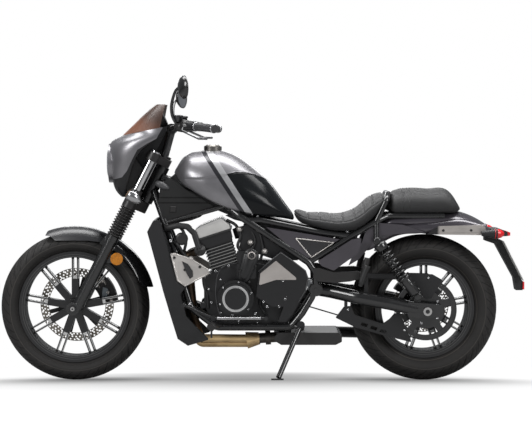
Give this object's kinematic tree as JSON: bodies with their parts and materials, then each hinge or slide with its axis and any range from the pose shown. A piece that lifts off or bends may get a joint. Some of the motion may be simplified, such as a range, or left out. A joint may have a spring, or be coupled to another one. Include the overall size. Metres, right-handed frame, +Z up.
{
  "type": "cruiser motorcycle",
  "caption": "Single-track road machine with a small fork-mounted fairing, teardrop tank, low stepped seats, V-shaped frame tubes and belt drive, parked on its side stand.",
  "frame": {"origin": "centre of the bounding box's base, on the floor, with the machine leaning left on its side stand", "axes": "+X back along the machine from the front wheel to the rear, +Y to its right side, +Z up"},
  "size_m": [2.234, 0.8335, 1.3311],
  "materials": {
    "silver_paint": "metallic satin",
    "violet_black_paint": "gloss",
    "black_paint": "satin",
    "wheel_paint": "satin, machined edges",
    "engine_black": "satin",
    "machined_alloy": "machined",
    "bright_steel": "polished",
    "disc_steel": "ground",
    "exhaust_steel": "heat tinted",
    "dark_plastic": "fine grain",
    "rubber": "matt",
    "tyre": "matt, treaded",
    "seat_cover": "grained, stitched",
    "smoked_glass": "smoked",
    "clear_glass": "clear",
    "amber": "reflector",
    "red_lens": "lens",
    "plate_white": "blank"
  },
  "bodies": {
    "chassis": {"drive_belt": "rubber", "frame": "black_paint", "swingarm": "black_paint", "rear_axle": "bright_steel", "rear_shocks": "black_paint", "rear_caliper": "engine_black", "tank": "silver_paint", "tank_cap": "black_paint", "rider_seat": "seat_cover", "pillion_seat": "seat_cover", "rear_fender": "violet_black_paint", "fender_struts": "black_paint", "tail_lamp": "dark_plastic", "tail_lenses": "red_lens", "rear_signals": "dark_plastic", "number_plate": "plate_white", "head_cover": "machined_alloy", "cylinders": "engine_black", "crankcase": "engine_black", "engine_covers": "engine_black", "airbox": "dark_plastic", "radiator": "black_paint", "radiator_shroud": "dark_plastic", "shroud_plates": "machined_alloy", "coolant_hose": "rubber", "exhaust_pipes": "exhaust_steel", "muffler": "black_paint", "front_panels": "dark_plastic", "side_panels": "dark_plastic", "belt_guards": "dark_plastic", "footrests": "black_paint", "foot_levers": "black_paint"},
    "side_stand": {"side_stand": "black_paint"},
    "rear_wheel": {"rear_tyre": "tyre", "rear_rim": "wheel_paint", "rear_disc": "disc_steel", "rear_pulley": "black_paint"},
    "steering": {"fork_tubes": "bright_steel", "fork_gaiters": "rubber", "fork_sliders": "black_paint", "front_caliper": "engine_black", "front_axle": "bright_steel", "triple_clamps": "black_paint", "handlebar": "black_paint", "grips": "rubber", "switch_gear": "dark_plastic", "mirrors": "dark_plastic", "fairing": "silver_paint", "windscreen": "smoked_glass", "headlamp": "dark_plastic", "headlamp_lens": "clear_glass", "instrument": "dark_plastic", "front_fender": "violet_black_paint", "front_reflectors": "amber", "front_signals": "dark_plastic"},
    "front_wheel": {"front_tyre": "tyre", "front_rim": "wheel_paint", "front_disc": "disc_steel"}
  },
  "joints": [
    {"name": "steering_head", "type": "hinge", "parent": "chassis", "child": "steering", "pos_m": [-0.45765, 0.03481, 0.84204], "axis": [0.4524, -0.1241, 0.8831], "range_deg": [-35, 35]},
    {"name": "front_wheel_spin", "type": "hinge", "parent": "steering", "child": "front_wheel", "pos_m": [-0.799, 0.10888, 0.31502], "axis": [0, 0.9903, 0.1392], "continuous": true},
    {"name": "rear_wheel_spin", "type": "hinge", "parent": "chassis", "child": "rear_wheel", "pos_m": [0.691, 0.10944, 0.31106], "axis": [0, 0.9903, 0.1392], "continuous": true},
    {"name": "side_stand_fold", "type": "hinge", "parent": "chassis", "child": "side_stand", "pos_m": [0.161, -0.04519, 0.22571], "axis": [0, -0.9205, 0.3907], "range_deg": [0, 112]}
  ]
}
